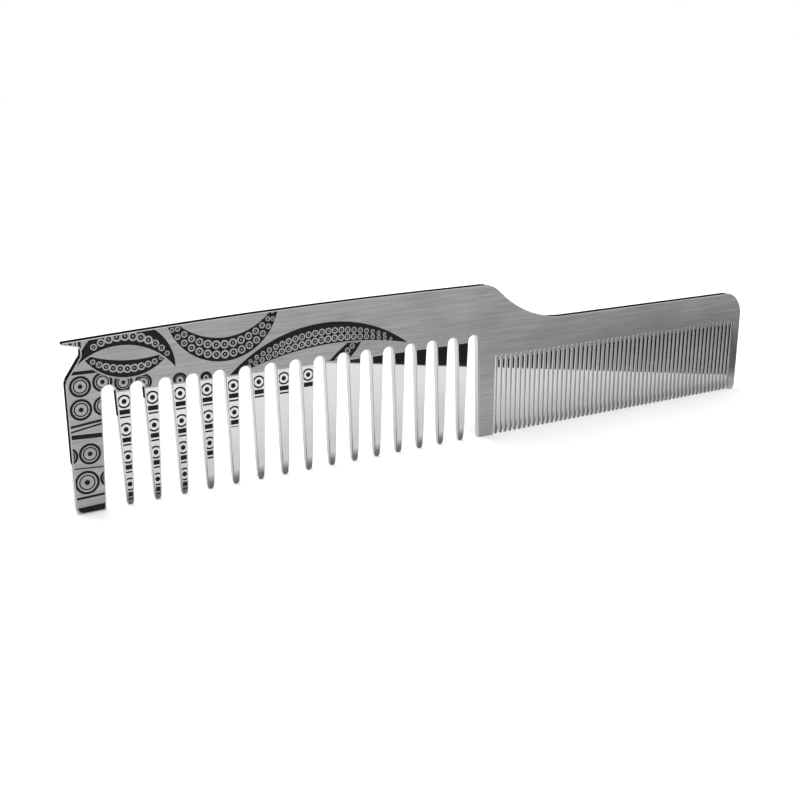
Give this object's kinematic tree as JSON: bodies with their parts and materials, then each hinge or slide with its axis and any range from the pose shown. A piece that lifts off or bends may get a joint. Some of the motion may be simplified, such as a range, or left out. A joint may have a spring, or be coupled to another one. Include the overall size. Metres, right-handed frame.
{
  "type": "barber comb",
  "caption": "Flat steel barber comb for clipper work: wide tapered teeth at one end, fine teeth at the other, a parting spur, and black enamel-filled etching on one face.",
  "frame": {"origin": "under the middle of the comb, level with its tooth tips", "axes": "+X along the comb towards the fine teeth, -Y out of the decorated front face, +Z from the tooth tips up to the back of the comb"},
  "size_m": [0.203, 0.002, 0.0411],
  "materials": {
    "steel": "brushed along the comb on its flat faces, polished on the bevels, slot walls and edges",
    "enamel": "satin black fill, level with the metal"
  },
  "bodies": {
    "root": {"comb_plate": "steel", "fill_upper_arch": "enamel", "fill_lower_bowl": "enamel", "fill_hanging_band": "enamel", "fill_long_wave": "enamel", "fill_branch": "enamel", "fill_root_rings": "enamel", "fill_end_bar_rings": "enamel", "fill_end_bar_stripes": "enamel", "fill_spur_stripes": "enamel", "fill_tooth_1": "enamel", "fill_tooth_2": "enamel", "fill_tooth_3": "enamel", "fill_tooth_4": "enamel", "fill_tooth_5": "enamel", "fill_tooth_6": "enamel", "fill_tooth_7": "enamel", "fill_tooth_8": "enamel"}
  },
  "joints": []
}
